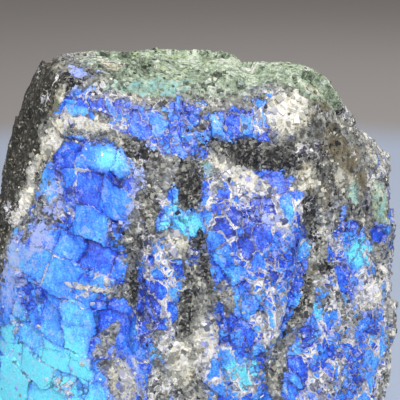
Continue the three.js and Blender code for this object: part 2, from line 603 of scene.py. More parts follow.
def face_shares(directions):
    """Distance to the blunted polyhedron and each broken face's share of it: with n the face's
    normal, the reach is the p-norm of n.d / distance over all faces, turned upside down."""
    bearing, tilt, distance = np.array(list(BROKEN_FACES.values()), float).T
    bearing, tilt = np.radians(bearing), np.radians(tilt)
    normals = np.stack(
        [np.sin(bearing) * np.cos(tilt), -np.cos(bearing) * np.cos(tilt), np.sin(tilt)], 1
    )
    leans = np.maximum(directions @ (normals / distance[:, None]).T, 0) ** EDGE_POWER
    total = leans.sum(1)
    return total ** (-1 / EDGE_POWER), leans / total[:, None]


def form_relief(points, directions):
    """How far the solid's surface stands out from the polyhedron, and how deep in a furrow it is:
    bell-shaped swellings, less bells across the furrows' courses and smooth steps at the ledges."""
    x, _, z = points.T
    front = smooth(0.15, 0.55, -directions[:, 1])
    back = smooth(0.15, 0.55, directions[:, 1])
    relief, furrow = np.zeros((2, len(points)))
    for centre, half, height in SWELLINGS:
        offset = (points - np.array(centre, float)) / np.array(half, float)
        relief += height * np.exp(-(offset**2).sum(1))
    for side, top, foot, bow, left, right, depth in FURROWS:
        along = (top[1] - z) / (top[1] - foot[1])
        course = top[0] + (foot[0] - top[0]) * along + bow * 4 * along * (1 - along)
        width = np.where(x < course, left, right)
        ends = smooth(0, 0.22, along) * smooth(0, 0.25, 1 - along)
        bell = np.exp(-(((x - course) / width) ** 2))
        hollow = (front if side > 0 else back) * depth * bell * ends
        furrow += hollow / FULL_FURROW
        relief -= hollow
    for facing, (height, rise, setback, half, fade_from, fade_to) in (
        (front, FRONT_LEDGE),
        (back, BACK_LEDGE),
    ):
        above = smooth(-half, half, z - height - rise * x)
        relief -= facing * setback * above * (1 - smooth(fade_from, fade_to, x))
    begin, end, drop = TOP_STEP
    relief -= smooth(0.45, 0.8, directions[:, 2]) * drop * smooth(begin, end, x)
    return relief, furrow


def patch_weight(across, rise, patches):
    """Weight of a zone: 1 - q^2 / 2 for the elliptical distance q from its nearest patch, which is
    one half on the patch's outline."""
    best = np.zeros(len(across))
    for centre_across, centre_rise, half_length, half_width, turn in patches:
        c, s = math.cos(math.radians(turn)), math.sin(math.radians(turn))
        u, v = across - centre_across, rise - centre_rise
        q2 = ((u * c + v * s) / half_length) ** 2 + ((v * c - u * s) / half_width) ** 2
        best = np.maximum(best, 1 - q2 / 2)
    return best


def mineral_zones(points, directions, shares):
    """Weights from 0 to 1 of each zone at each point, the minerals' and those of painted shade and
    painted
    highlight: the named patches on the front, and broad noise round the sides and the back."""
    share_of = dict(zip(BROKEN_FACES, shares.T))
    across, upwards = points[:, 0], directions[:, 2]
    rise = points[:, 2] * math.cos(FRONT_LEAN) + points[:, 1] * math.sin(FRONT_LEAN)
    front = smooth(-0.05, 0.3, -directions[:, 1])
    zones = {name: patch_weight(across, rise, patches) * front for name, patches in PATCHES.items()}

    # Round the sides and the back: blue where broad noise is high and crushed rock where it is low,
    # cream grains and black ones by another noise, and no blue on the top.
    broad, other = noise_at(points + 40, 26, 3), noise_at(points - 90, 20, 3)
    around = 1 - front
    zones["blue"] += around * (0.3 + 0.55 * broad) * (1 - smooth(0.15, 0.55, upwards))
    zones["cream"] += around * (0.2 + 0.45 * other)
    zones["crush"] += around * (0.5 - 0.4 * broad)
    zones["dark"] += around * (0.12 - 0.4 * other)
    zones["dark"] -= 0.8 * np.maximum(zones["cream"] - 0.35, 0)

    # The green rim runs on over the top but stops short of the left end.
    upper = smooth(0.4, 0.7, upwards) * (1 - smooth(0.1, 0.5, directions[:, 1]))
    top = np.maximum(share_of["top"], patch_weight(across, rise, PATCHES["green"]) * upper)
    zones["green"] = np.maximum(zones["green"], top * smooth(-36, -20, across) * 0.8)

    # The old skin covers the left faces, and on the front only their upper edge.
    skin = share_of["left"] + share_of["left top bevel"] + share_of["left rear"]
    skin *= 1 - smooth(0, 0.5, front) * (1 - smooth(54, 80, rise))
    zones["skin"] = np.maximum(zones["skin"], skin)
    zones["blue"] *= (1 - zones["skin"]) * (1 - 0.8 * smooth(0.4, 0.7, zones["green"]))
    zones["blue"] = np.maximum(zones["blue"], 0)
    return zones


def turned(points, degrees, stretch):
    """Points turned about Y and stretched along Z, for cells that lie askew and stand tall."""
    c, s = math.cos(math.radians(degrees)), math.sin(math.radians(degrees))
    x, y, z = points.T
    return np.stack([x * c - z * s, y, (x * s + z * c) * stretch], 1)


def facets(random, away, step, tilt):
    """Height of flat, tilted cell tops: a random height for each cell, plus a random slope times
    the way from the middle of the cell."""
    return (random[:, 0] - 0.5) * step + ((random[:, [1, 2, 0]] - 0.5) * 2 * tilt * away).sum(1)


def stone_mesh(settings):
    """The stone's fine mesh and its point attributes: direction times reach, plus the solid's
    relief, plus the heights of breaks, blocks, splinters, chips and crushed grain by zone."""
    points, quads = box_grid(settings.grid_step / MM)
    directions = unit(points)
    reach, shares = face_shares(directions)
    relief, furrow = form_relief(directions * reach[:, None] + HEART, directions)
    reach = reach + relief
    body = directions * reach[:, None] + HEART
    # The stone stands flat: a downward direction reaches the floor at most.
    downwards = np.maximum(-directions[:, 2], 1e-6)
    floor_reach = np.where(directions[:, 2] < 0, HEART_HEIGHT / downwards, np.inf)
    resting = directions * np.minimum(reach, floor_reach)[:, None] + HEART
    low, high = resting.min(0), resting.max(0)
    zones = mineral_zones(body, directions, shares)
    # Painted shade in the furrows: the deeper the furrow, the darker the rock is painted.
    zones["painted_shade"] = zones["painted_shade"] + 0.4 * furrow
    warp = np.stack([noise_at(body + 30 * k, WARP_SIZE, 2) for k in range(3)], 1)
    place = body + warp * WARP
    bend = np.stack([noise_at(body + 50 * k, BEND_SIZE, 1) for k in range(3)], 1)
    blocks = turned(place + bend * BEND, *BLOCK_LIE)
    splinters = turned(place, *SPLINTER_LIE)
    front = smooth(0.0, 0.35, -directions[:, 1])
    calm = (0.45 + 0.55 * front) * (1 - 0.5 * zones["skin"])

    random, middle = cells_at(place, settings.boulder / MM)
    breaks = facets(random, place - middle, BREAK_STEP, BREAK_TILT)
    random, middle = blocks_at(blocks, settings.block / MM)
    on_block = smooth(0.45, 0.55, zones["lobe"]) * (random[:, 2] > BROKEN_BLOCKS)
    block = facets(random, blocks - middle, settings.block_step / MM, BLOCK_TILT)
    random, middle = cells_at(splinters, settings.splinter / MM)
    broken = (random[:, 2] < BROKEN_SPLINTERS) * (1 - on_block)
    step = settings.splinter_step / MM
    splinter = facets(random, splinters - middle, step, SPLINTER_TILT)
    random, middle = cells_at(place, settings.chip / MM)
    chips = facets(random, place - middle, CHIP_STEP, CHIP_TILT)
    crushed = np.clip(zones["crush"], 0, 1)
    relief = (
        SWELL * (1 - 0.5 * smooth(0.5, 0.9, directions[:, 2])) * noise_at(body, SWELL_SIZE, 3)
        + (1 - 0.75 * front) * breaks
        + calm * (on_block * block + (1 - on_block) * splinter * (1 - 0.4 * crushed))
        + (0.2 + 0.6 * np.maximum(crushed, broken)) * (1 - 0.8 * on_block) * chips
        + GRIT * (0.2 + 0.8 * crushed) * (1 - 0.7 * on_block) * noise_at(body, GRIT_SIZE, 2)
    )
    surface = directions * np.minimum(reach + relief, floor_reach)[:, None] + HEART
    box_low, box_high = (np.array(corner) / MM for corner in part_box(NODE))
    shift = ((box_low + box_high) - (low + high)) / 2
    shift[2] = 0
    cells = {"place": place, "blocks": blocks, "splinters": splinters}
    return surface + shift, quads, cells, zones


def new_mesh(name, points, faces, vectors, colours):
    """A mesh from arrays, in metres, with vector and colour attributes on its points."""
    mesh = bpy.data.meshes.new(name)
    mesh.from_pydata((points * MM).tolist(), [], faces.tolist())
    for key, values in vectors.items():
        attribute = mesh.attributes.new(key, "FLOAT_VECTOR", "POINT")
        attribute.data.foreach_set("vector", values.astype(np.float32).ravel())
    for key, values in colours.items():
        attribute = mesh.attributes.new(key, "FLOAT_COLOR", "POINT")
        attribute.data.foreach_set("color", values.astype(np.float32).ravel())
    return mesh


def thinned(mesh, triangles):
    """The mesh with its flat cell tops in fewer, larger triangles, at most the given number."""
    mesh.calc_loop_triangles()
    holder = bpy.data.objects.new("thinning", mesh)
    bpy.context.scene.collection.objects.link(holder)
    modifier = holder.modifiers.new("thinning", "DECIMATE")
    modifier.ratio = triangles / len(mesh.loop_triangles)
    modifier.use_collapse_triangulate = True
    evaluated = holder.evaluated_get(bpy.context.evaluated_depsgraph_get())
    thin = bpy.data.meshes.new_from_object(evaluated)
    bpy.data.objects.remove(holder)
    bpy.data.meshes.remove(mesh)
    return thin


# Low and high corner of the UV chart of each side of the grid box: -X, +X, -Y, +Y, -Z, +Z.
CHARTS = np.array(
    [
        (0.56, 0.0, 0.78, 0.5),
        (0.78, 0.0, 1.0, 0.5),
        (0.0, 0.0, 0.56, 0.58),
        (0.0, 0.58, 0.42, 1.0),
        (0.78, 0.5, 1.0, 0.74),
        (0.42, 0.58, 0.78, 1.0),
    ]
)
# Share of a chart that its side fills, and how near its border the rest may come.
CHART_FILL = 0.93
CHART_BORDER = 0.002


def chart_uv(mesh):
    """A UV map with one chart for each side of the grid box: a face belongs to the side that its
    middle looks through, and its corners are seen from the heart through that side."""
    corner_vertex = values_of(mesh.loops, "vertex_index", 1, int)[:, 0]
    points = values_of(mesh.vertices, "co", 3, float)
    triangles = ((points / MM - HEART) / GRID_BOX)[corner_vertex].reshape(-1, 3, 3)
    middle = triangles.mean(1)
    axis = np.abs(middle).argmax(1)
    sign = np.sign(np.take_along_axis(middle, axis[:, None], 1))[:, 0]
    order = np.array([[0, 1, 2], [1, 0, 2], [2, 0, 1]])[axis]
    depth, u, v = np.moveaxis(np.take_along_axis(triangles, order[:, None].repeat(3, 1), 2), 2, 0)
    share = np.stack([u, v], -1) / np.abs(depth)[..., None] * CHART_FILL / 2 + 0.5
    low, high = np.split(CHARTS[axis * 2 + (sign > 0)][:, None], 2, axis=2)
    uv = low + np.clip(share, CHART_BORDER, 1 - CHART_BORDER) * (high - low)
    layer = mesh.uv_layers.new(name=BAKE_MAP)
    layer.uv.foreach_set("vector", uv.astype(np.float32).ravel())


CUBE_CORNERS = np.array([(x, y, z) for x in (-0.5, 0.5) for y in (-0.5, 0.5) for z in (-0.5, 0.5)])
CUBE_FACES = np.array(
    [(0, 1, 3, 2), (4, 6, 7, 5), (0, 4, 5, 1), (2, 3, 7, 6), (0, 2, 6, 4), (1, 5, 7, 3)]
)
# Thickness of a flake beside its width, most that it narrows and leans, and its clearance from
# the floor in millimetres.
FLAKE_THICKNESS = 0.4
FLAKE_TAPER, FLAKE_LEAN = 0.55, 0.5
FLAKE_CLEARANCE = 0.02


def grain_mesh(rock, settings):
    """Cleavage flakes in the crushed rock. Each is a cube scaled to its own flat size, narrowed
    towards one end and leant over, and it lies nearly along the surface, sunk by half its height:
    p = turn (size * corner + lean) + site, with sites spread over the rock's triangles by area and
    by how crushed the rock is there."""
    rng = np.random.default_rng(settings.seed)
    rock.calc_loop_triangles()
    points = values_of(rock.vertices, "co", 3) / MM
    normals = values_of(rock.vertices, "normal", 3)
    triangles = values_of(rock.loop_triangles, "vertices", 3, np.int32)
    blue, crush, dark, cream = values_of(rock.attributes["minerals"].data, "color", 4).T
    green = values_of(rock.attributes["tints"].data, "color", 4)[:, 0]
    # The last of the extras is the painted shade.
    _, skin, _, painted_shade = values_of(rock.attributes["extras"].data, "color", 4).T

    # Few on the shimmer, the skin and the rim, and none near the floor.
    crushed, foreign = np.maximum(crush - 0.35, 0), np.maximum(cream, dark)
    shimmer = smooth(0.3, 0.6, blue - 0.9 * crushed - 0.6 * foreign)
    rim, old = smooth(0.3, 0.6, green), smooth(0.4, 0.6, skin)
    wanted = (1 - 0.97 * shimmer - 0.7 * old - 0.75 * rim) * smooth(1, 4, points[:, 2])
    corners = points[triangles].astype(float)
    sides = corners[:, 1:] - corners[:, :1]
    area = np.linalg.norm(np.cross(sides[:, 0], sides[:, 1]), axis=1)
    chance = area * np.maximum(wanted, 0.03)[triangles].mean(1)
    count = settings.loose_grains
    picked = rng.choice(len(triangles), count, p=chance / chance.sum())
    share = rng.dirichlet((1, 1, 1), count)[:, :, None]
    site = (corners[picked] * share).sum(1)
    vertex = triangles[picked, 0]

    spread = rng.normal(0, 0.2, (count, 3)) + rng.normal(0, 0.35, (count, 1))
    size = settings.loose_size / MM * np.exp(np.minimum(spread, 0.6))
    size *= (1 + 0.6 * smooth(0.4, 0.8, cream) - 0.3 * old)[vertex, None]
    size[:, 2] *= FLAKE_THICKNESS
    upright = unit(normals[vertex] + rng.normal(0, 0.25, (count, 3)))
    along = unit(np.cross(upright, rng.normal(size=(count, 3))))
    turn = np.stack([along, np.cross(upright, along), upright], 2)
    shape = (CUBE_CORNERS[None] + rng.normal(0, 0.1, (count, 8, 3))) * size[:, None]
    taper = rng.uniform(0, FLAKE_TAPER, count)[:, None] * (CUBE_CORNERS[None, :, 2] + 0.5)
    shape[..., :2] *= (1 - taper)[..., None]
    shape[..., 0] += shape[..., 2] * rng.uniform(-FLAKE_LEAN, FLAKE_LEAN, count)[:, None]
    placed = np.einsum("nij,nkj->nki", turn, shape) + site[:, None]
    placed[..., 2] = np.maximum(placed[..., 2], FLAKE_CLEARANCE)

    # The grains are painted darker under painted shade.
    tone = 0.3 * cream - 0.42 * np.maximum(dark, 0) - 0.14 * painted_shade + 0.3 * shimmer - 0.28 * skin
    tone = tone[vertex] + 0.5 + rng.normal(0, 0.15, count) + 0.16 * noise_at(site, 3.5, 3)
    bluish = smooth(0.1, 0.5, blue[vertex]) * rng.uniform(0, 1, count)
    greenish = rim[vertex] * rng.uniform(0.4, 1, count)
    look = np.stack([tone, bluish, greenish, np.ones(count)], 1).repeat(8, 0)
    faces = (np.arange(count)[:, None, None] * 8 + CUBE_FACES[None]).reshape(-1, 4)
    mesh = new_mesh("crushed_grains", placed.reshape(-1, 3), faces, {}, {"grain": look})

    # One tile of the UV map for each grain, with all its faces on top of one another.
    side = math.ceil(math.sqrt(count))
    tile = np.stack([np.arange(count) % side, np.arange(count) // side], 1)
    square = np.array([(0.15, 0.15), (0.85, 0.15), (0.85, 0.85), (0.15, 0.85)])
    uv = (tile[:, None, None] + square[None, None]).repeat(6, 1) / side
    layer = mesh.uv_layers.new(name=BAKE_MAP)
    layer.uv.foreach_set("vector", uv.astype(np.float32).ravel())
    return mesh


def finished_object(name, mesh, material):
    """Links a mesh to the scene as a piece of the stone."""
    mesh.materials.append(material)
    piece = bpy.data.objects.new(name, mesh)
    bpy.context.scene.collection.objects.link(piece)
    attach(piece, "root")
    return piece


# ---------------------------------------------------------------------------------------------
# Materials


# Refractive index of plagioclase feldspar.
FELDSPAR_IOR = 1.56

# Noises of the rock: size of what they stand for in millimetres, detail and roughness. Silk and
# flow are stretched along the splinters instead, by the factors beside them.
FROST = (0.4, 3.0, 0.65)
DUST = (1.1, 4.0, 0.6)
CLOUD = (2.6, 4.0, 0.6)
PATCH = (7.0, 3.0, 0.55)
SILK, SILK_STRETCH = (1.0, 3.0, 0.6), (1.6, 1.6, 0.22)
FLOW, FLOW_STRETCH = (1.0, 4.0, 0.65), (0.6, 0.6, 0.26)

# How far, in millimetres, dust makes the outlines of blocks, splinters and chips ragged.
RAGGED_BLOCK, RAGGED_SPLINTER, RAGGED_CHIP = 1.4, 1.5, 0.8
# Votes between which rock turns to shimmer, and between which it takes on a bluish tint.
SHIMMER_VOTES = (1.29, 1.36)
TINT_VOTES = (0.85, 1.35)
# Millimetres over which a seam or a crack fades out.
SEAM_FADE = 0.12


def new_material(name):
    """A material and its node tree, still empty."""
    material = bpy.data.materials.new(name)
    material.use_nodes = True
    material.node_tree.nodes.clear()
    return material, material.node_tree


def labradorite_material(stone, finish):
    """Labradorite rock, broken and unpolished: glassy blue cleavage in cells, crushed grey feldspar
    between them, black hornblende specks and a weathered green rim."""
    material, tree = new_material("rough_labradorite_rock")
    named = {
        name: add(tree, "ShaderNodeAttribute", attribute_name=name).outputs
        for name in ("minerals", "tints", "extras", "place", "blocks", "splinters")
    }
    blue, crush, dark = add(tree, SPLIT, {0: named["minerals"]["Color"]}).outputs
    green, teal, hue_and_highlight = add(tree, SPLIT, {0: named["tints"]["Color"]}).outputs
    lobe, skin, brown = add(tree, SPLIT, {0: named["extras"]["Color"]}).outputs
    cream, haze, painted_shade = (named[name]["Alpha"] for name in ("minerals", "tints", "extras"))
    place, blocks, splinters = (named[name]["Vector"] for name in ("place", "blocks", "splinters"))
    coordinates = add(tree, "ShaderNodeTexCoord").outputs["Object"]
    surface = add(tree, VECTOR, {0: coordinates, 1: (1 / MM,) * 3}, operation="MULTIPLY")
    along = add(tree, VECTOR, {0: splinters, 1: SILK_STRETCH}, operation="MULTIPLY")
    down = add(tree, VECTOR, {0: splinters, 1: FLOW_STRETCH}, operation="MULTIPLY")
    frost, dust, cloud, patch, silk, flow = (
        add(tree, NOISE, {"Vector": at, "Scale": 1 / size, "Detail": detail, "Roughness": rough})
        for at, (size, detail, rough) in (
            (surface, FROST),
            (surface, DUST),
            (surface, CLOUD),
            (place, PATCH),
            (along, SILK),
            (down, FLOW),
        )
    )

    # Splinters, chips and grains, and the distance to the edge of the first two in millimetres.
    ragged = add(tree, VECTOR, {0: dust.outputs["Color"], 1: (0.5,) * 3}, operation="SUBTRACT")
    cells = []
    for at, amount, size in (
        (splinters, RAGGED_SPLINTER, stone.splinter),
        (place, RAGGED_CHIP, stone.chip),
    ):
        at = add(tree, VECTOR, {0: ragged, 1: (amount,) * 3, 2: at}, operation="MULTIPLY_ADD")
        inputs = {"Vector": at, "Scale": MM / size}
        distance = add(tree, VORONOI, inputs, feature="DISTANCE_TO_EDGE")
        distance = add(tree, MATH, {0: distance, 1: size / MM}, operation="MULTIPLY")
        cells.append((add(tree, VORONOI, inputs).outputs["Color"], distance))
    (splinter, splinter_edge), (chip, chip_edge) = cells
    chip_random = add(tree, SPLIT, {0: chip}).outputs
    grain = add(tree, VORONOI, {"Vector": surface, "Scale": MM / stone.grain}).outputs["Color"]
    grain_random = add(tree, SPLIT, {0: grain}).outputs

    # Cleavage blocks of the lobe: rows, and columns that start elsewhere along each row.
    at = add(tree, VECTOR, {0: ragged, 1: (RAGGED_BLOCK,) * 3, 2: blocks}, operation="MULTIPLY_ADD")
    block_place = add(tree, "ShaderNodeSeparateXYZ", {0: at}).outputs
    numbers, edges = [], []
    for axis in ("Z", "X"):
        at = block_place[axis]
        if numbers:
            at = add(tree, MATH, {0: numbers[0], 1: ROW_SHIFT, 2: at}, operation="MULTIPLY_ADD")
        strips = {"W": at, "Scale": MM / stone.block, "Randomness": STRIP_RANDOMNESS}
        strip = add(tree, VORONOI, strips, voronoi_dimensions="1D").outputs["Color"]
        numbers.append(add(tree, SPLIT, {0: strip}))
        edges.append(
            add(tree, VORONOI, strips, voronoi_dimensions="1D", feature="DISTANCE_TO_EDGE")
        )
    pair = add(tree, "ShaderNodeCombineXYZ", dict(enumerate(numbers)))
    block = add(tree, "ShaderNodeTexWhiteNoise", {"Vector": pair}).outputs["Color"]
    block_edge = add(tree, MATH, dict(enumerate(edges)), operation="MINIMUM")
    block_edge = add(tree, MATH, {0: block_edge, 1: stone.block / MM}, operation="MULTIPLY")

    # The cell a point is in: a block on the lobe unless that block is broken, else a splinter
    # unless that is broken too, else a chip.
    block_whole, splinter_whole = (
        add(
            tree, MATH, {0: add(tree, SPLIT, {0: random}).outputs[2], 1: broken},
            operation="GREATER_THAN",
        )
        for random, broken in ((block, BROKEN_BLOCKS), (splinter, BROKEN_SPLINTERS))
    )
    lobe_here = add(tree, MATH, {0: lobe, 1: 0.5}, operation="GREATER_THAN")
    on_block = add(tree, MATH, {0: block_whole, 1: lobe_here}, operation="MULTIPLY")
    cell, edge = chip, chip_edge
    for whole, random, distance in (
        (splinter_whole, splinter, splinter_edge),
        (on_block, block, block_edge),
    ):
        cell = add(tree, MIX, {0: whole, 6: cell, 7: random}, data_type="RGBA").outputs[2]
        edge = add(tree, MIX, {0: whole, 2: edge, 3: distance})
    cell_random = add(tree, SPLIT, {0: cell}).outputs

    # What speaks against shimmer: how far each other zone is past its threshold, and its weight.
    against = []
    for zone, threshold, weight in (
        (crush, 0.35, -0.8),
        (cream, 0.3, -2.0),
        (dark, 0.3, -1.2),
        (green, 0.3, -1.2),
        (skin, 0.3, -2.0),
    ):
        excess = add(tree, MATH, {0: zone, 1: threshold}, operation="SUBTRACT")
        against.append((add(tree, MATH, {0: excess, 1: 0.0}, operation="MAXIMUM"), weight))

    # Weighted sums, each of a start and pairs of a source and its weight: the vote for shimmer, its
    #     shade of colour and milkiness, the tone of the crushed rock, lowered by painted shade in
    #     the furrows and on the painted shade patches, and the old skin's tone and extent.
    pepper = add(tree, MATH, {0: dark, 1: 0.35, 2: 0.26}, operation="MULTIPLY_ADD")
    sums = []
    for total, *terms in (
        (blue, (cell_random[1], 0.5), (chip_random[0], 0.2), (cloud, 1.1), (frost, 0.35), *against),
        (hue_and_highlight, (cell_random[0], 0.45), (patch, 0.6), (silk, 0.5), (cloud, 0.6), (frost, 0.7)),
        (dust, (haze, 0.6), (chip_random[1], 0.5), (frost, 0.6)),
        (
            -0.63, (flow, 0.9), (dust, 0.8), (grain_random[0], pepper), (chip_random[2], 0.2),
            (dark, -0.43), (cream, 0.17), (cell_random[2], 0.25), (painted_shade, -0.14),
        ),
        (-0.3, (cloud, 0.6), (grain_random[1], dust)),
        (skin, (patch, 1.2), (dust, 0.5)),
    ):
        for source, weight in terms:
            total = add(tree, MATH, {0: source, 1: weight, 2: total}, operation="MULTIPLY_ADD")
        sums.append(total)
    vote, shade, milk, tone, skin_tone, old = sums
    is_blue, near_blue = (
        add(tree, RANGE, {"Value": vote, "From Min": low, "From Max": high, "To Max": most})
        for (low, high), most in ((SHIMMER_VOTES, 1.0), (TINT_VOTES, 0.6))
    )

    # Shimmer: each cell has its own shade of colour between ultramarine, azure and cyan, cyan also
    # standing
    #     for painted highlight on the lower left, clouded and silky inside, deeper within a
    #     millimetre of its edge, darkened by painted shade between the crystals in spots where the
    #     dust and frost noises are low, less so on the lobe, and milky in other spots.
    inside = add(tree, RANGE, {"Value": edge, "From Max": 1.0, "To Min": -1.1, "To Max": -0.9})
    shimmer = add(
        tree, RAMP, {0: add(tree, MATH, {0: shade, 1: inside})},
        ramp=(
            (0.05, linear("18308c")),
            (0.27, finish.deep),
            (0.47, finish.azure),
            (0.72, linear("5db0ff")),
            (0.95, finish.cyan_and_highlight),
        ),
    )
    # Painted shade between the crystals: the shimmer is darkened where the dust and frost noises
    # are low, on the lobe only 30 percent as much.
    speckle = add(tree, MATH, {0: dust, 1: frost})
    depth = add(
        tree, RANGE,
        {"Value": speckle, "From Min": 0.8, "From Max": 1.1, "To Min": 0.62, "To Max": 1.05},
    )
    calm = add(tree, MATH, {0: lobe_here, 1: 0.7}, operation="MULTIPLY")
    depth = add(tree, MIX, {0: calm, 2: depth, 3: 1.0})
    shimmer = add(tree, VECTOR, {0: shimmer, "Scale": depth}, operation="SCALE")
    milk = add(tree, RANGE, {"Value": milk, "From Min": 1.15, "From Max": 1.6, "To Max": 0.85})
    shimmer = add(tree, MIX, {0: milk, 6: shimmer, 7: (*finish.haze, 1)}, data_type="RGBA")

    # Crushed rock: soft grey clouds with darker and lighter grains, black where hornblende gathers.
    # On it lie the green rim with its lime and teal cleavage, cream grains and iron stain.
    rim_tone = add(tree, MATH, {0: cell_random[0], 1: 0.3, 2: tone}, operation="MULTIPLY_ADD")
    rim_tone = add(tree, MATH, {0: rim_tone, 1: -0.1})
    rock, rim, pale = (
        add(tree, RAMP, {0: value}, ramp=ramp).outputs[0]
        for value, ramp in (
            (
                tone,
                (
                    (0.12, finish.dark),
                    (0.34, linear("56544f")),
                    (0.56, finish.grey),
                    (0.78, linear("c0beb0")),
                    (0.95, finish.white),
                ),
            ),
            (
                rim_tone,
                (
                    (0.25, linear("3c443a")),
                    (0.5, linear("84917d")),
                    (0.72, finish.green),
                    (0.98, linear("dfe6d6")),
                ),
            ),
            (
                tone,
                (
                    (0.3, linear("6f6a5a")),
                    (0.55, linear("b9b19b")),
                    (0.75, finish.cream),
                    (0.95, finish.white),
                ),
            ),
        )
    )
    for tint, zone, random, low, high, most in (
        (finish.lime, green, chip_random[0], 1.6, 1.75, 0.45),
        (finish.teal, teal, chip_random[1], 0.95, 1.5, 0.7),
    ):
        limits = {"From Min": low, "From Max": high, "To Max": most}
        share = add(tree, RANGE, {"Value": add(tree, MATH, {0: zone, 1: random}), **limits})
        rim = add(tree, MIX, {0: share, 6: rim, 7: (*tint, 1)}, data_type="RGBA").outputs[2]
    either = add(tree, MATH, {0: green, 1: teal}, operation="MAXIMUM")
    for layer, zone, low, high, most in (
        (rim, either, 0.85, 1.05, 1.0),
        (pale, cream, 0.9, 1.05, 1.0),
        ((*finish.brown, 1), brown, 0.95, 1.2, 0.7),
    ):
        limits = {"From Min": low, "From Max": high, "To Max": most}
        share = add(tree, RANGE, {"Value": add(tree, MATH, {0: zone, 1: dust}), **limits})
        rock = add(tree, MIX, {0: share, 6: rock, 7: layer}, data_type="RGBA").outputs[2]

    # Old skin of the left side: dark olive grey with pin-prick glints.
    old = add(tree, RANGE, {"Value": old, "From Min": 1.25, "From Max": 1.4})
    skin_colour = add(
        tree, RAMP, {0: skin_tone},
        ramp=(
            (0.1, linear("1e1d19")),
            (0.32, finish.skin),
            (0.5, linear("7d796b")),
            (0.6, finish.cream),
        ),
    )
    rock = add(tree, MIX, {0: old, 6: rock, 7: skin_colour}, data_type="RGBA").outputs[2]
    rock = add(
        tree, MIX, {0: near_blue, 6: rock, 7: (*linear("a3b4ff"), 1)}, data_type="RGBA",
        blend_type="MULTIPLY",
    ).outputs[2]

    # Seams of crushed rock between the cells, as wide as the patches make them, narrow on the lobe
    #     and none on the rim, the skin or under painted shade.
    seamless = add(tree, MATH, {0: either, 1: skin}, operation="MAXIMUM")
    seamless = add(tree, MATH, {0: seamless, 1: painted_shade}, operation="MAXIMUM")
    width = add(tree, RANGE, {"Value": patch, "From Min": 0.48, "From Max": 0.66, "To Max": 0.5})
    for source, weight in ((cell_random[2], 0.16), (lobe_here, -0.25), (seamless, -0.5)):
        width = add(tree, MATH, {0: source, 1: weight, 2: width}, operation="MULTIPLY_ADD")
    # Dark cracks between shimmering cells, open in some places and all but shut in others.
    large = add(tree, MATH, {0: splinter_whole, 1: on_block}, operation="MAXIMUM")
    crack_width = add(
        tree, RANGE,
        {"Value": cloud, "From Min": 0.35, "From Max": 0.65, "To Min": 0.1, "To Max": 0.3},
    )
    crack_width = add(tree, MATH, {0: large, 1: 0.06, 2: crack_width}, operation="MULTIPLY_ADD")
    seam, crack = (
        add(
            tree, RANGE,
            {
                "Value": add(tree, MATH, {0: reach, 1: edge}, operation="SUBTRACT"),
                "From Min": 0.0,
                "From Max": SEAM_FADE,
            },
        )
        for reach in (width, crack_width)
    )
    open_crack = add(
        tree, RANGE,
        {"Value": flow, "From Min": 0.4, "From Max": 0.6, "To Min": 0.15, "To Max": 0.75},
    )
    crack = add(tree, MATH, {0: crack, 1: open_crack}, operation="MULTIPLY")
    crack = add(tree, MATH, {0: crack, 1: is_blue}, operation="MULTIPLY")
    seam_colour = add(
        tree, RAMP, {0: add(tree, MATH, {0: tone, 1: 0.15})},
        ramp=(
            (0.3, linear("2c2d3c")),
            (0.5, linear("8e90a4")),
            (0.7, linear("cfd0da")),
            (0.9, finish.white),
        ),
    )
    # White flecks on the shimmer.
    fleck = add(tree, MATH, {0: grain_random[2], 1: frost})
    fleck = add(tree, RANGE, {"Value": fleck, "From Min": 1.56, "From Max": 1.66, "To Max": 0.85})
    fleck = add(tree, MATH, {0: fleck, 1: is_blue}, operation="MULTIPLY")
    colour_here = rock
    for share, layer in (
        (is_blue, shimmer.outputs[2]),
        (seam, seam_colour),
        (crack, (*linear("171d4e"), 1)),
        (fleck, (*finish.white, 1)),
    ):
        mixed = add(tree, MIX, {0: share, 6: colour_here, 7: layer}, data_type="RGBA")
        colour_here = mixed.outputs[2]

    # Gloss: fresh cleavage is glassy, crushed rock matt with glints from grains that lie askew.
    rough, lean, bump_share = (
        add(tree, RANGE, {"Value": is_blue, "To Min": on_rock, "To Max": on_shimmer})
        for on_rock, on_shimmer in ((0.55, 0.18), (0.8, 0.12), (1.0, 0.3))
    )
    rough = add(tree, MATH, {0: dust, 1: 0.25, 2: rough}, operation="MULTIPLY_ADD")
    askew = add(tree, VECTOR, {0: grain, 1: (0.5,) * 3}, operation="SUBTRACT")
    askew = add(tree, VECTOR, {0: askew, "Scale": lean}, operation="SCALE")
    true_normal = add(tree, "ShaderNodeNewGeometry").outputs["Normal"]
    normal = add(tree, VECTOR, {0: askew, 1: true_normal}, operation="ADD")
    normal = add(tree, VECTOR, {0: normal}, operation="NORMALIZE")
    height = add(tree, MATH, {0: speckle, 1: bump_share}, operation="MULTIPLY")
    bump = add(
        tree, "ShaderNodeBump",
        {"Height": height, "Distance": 0.4 * MM, "Strength": 1.0, "Normal": normal},
    )
    shader = add(
        tree, "ShaderNodeBsdfPrincipled",
        {"Base Color": colour_here, "Roughness": rough, "IOR": FELDSPAR_IOR, "Normal": bump},
    )
    add(tree, "ShaderNodeOutputMaterial", {"Surface": shader})
    return material


